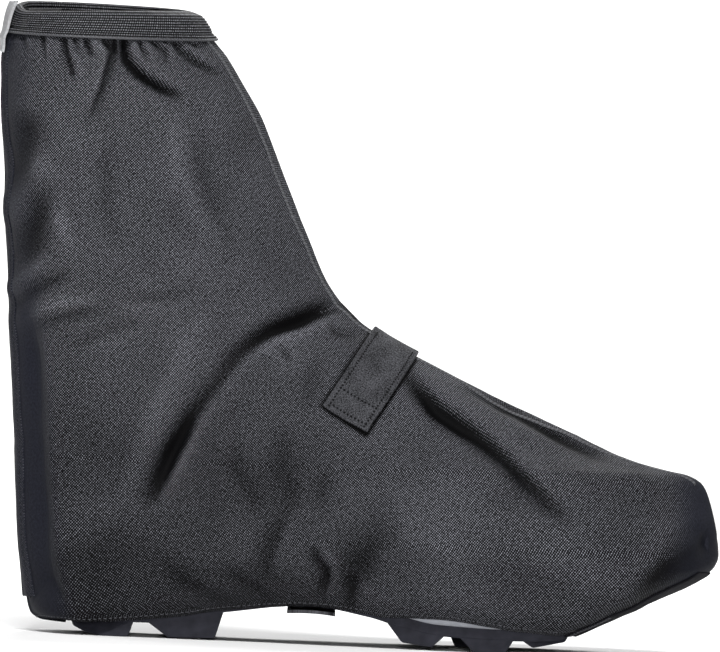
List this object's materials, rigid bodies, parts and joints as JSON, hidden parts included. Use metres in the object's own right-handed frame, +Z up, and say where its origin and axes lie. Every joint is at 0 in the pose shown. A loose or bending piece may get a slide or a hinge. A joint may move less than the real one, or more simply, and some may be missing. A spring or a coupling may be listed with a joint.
{
  "type": "cycling rain gaiter",
  "caption": "Tall rain gaiter for a right riding shoe: hollow fabric cover with an elastic collar, back flap, instep and arch straps and toe guard, over a lugged sole.",
  "frame": {"origin": "on the floor, at the middle of the rear heel lug's tread", "axes": "+X forwards to the toe, +Y to the left, which is the inner side of this right shoe, +Z up"},
  "size_m": [0.3154, 0.1076, 0.2683],
  "materials": {
    "cover_fabric": "black coated twill, fine diagonal weave",
    "elastic_binding": "black ribbed elastic",
    "reflective_fabric": "light grey reflective fabric",
    "loop_tape": "black fluffy loop tape",
    "strap_fabric": "black brushed webbing",
    "guard_fabric": "black coated wear fabric",
    "sole_foam": "light grey moulded board",
    "insole_lining": "dark grey brushed lining",
    "sole_rubber": "black moulded rubber"
  },
  "bodies": {
    "root": {"upper": "cover_fabric", "collar_band": "elastic_binding", "back_flap": "cover_fabric", "reflective_tab": "reflective_fabric", "loop_patch": "loop_tape", "instep_strap": "strap_fabric", "arch_strap": "strap_fabric", "toe_guard": "guard_fabric", "midsole": "sole_foam", "insole": "insole_lining", "outsole": "sole_rubber"}
  },
  "joints": []
}
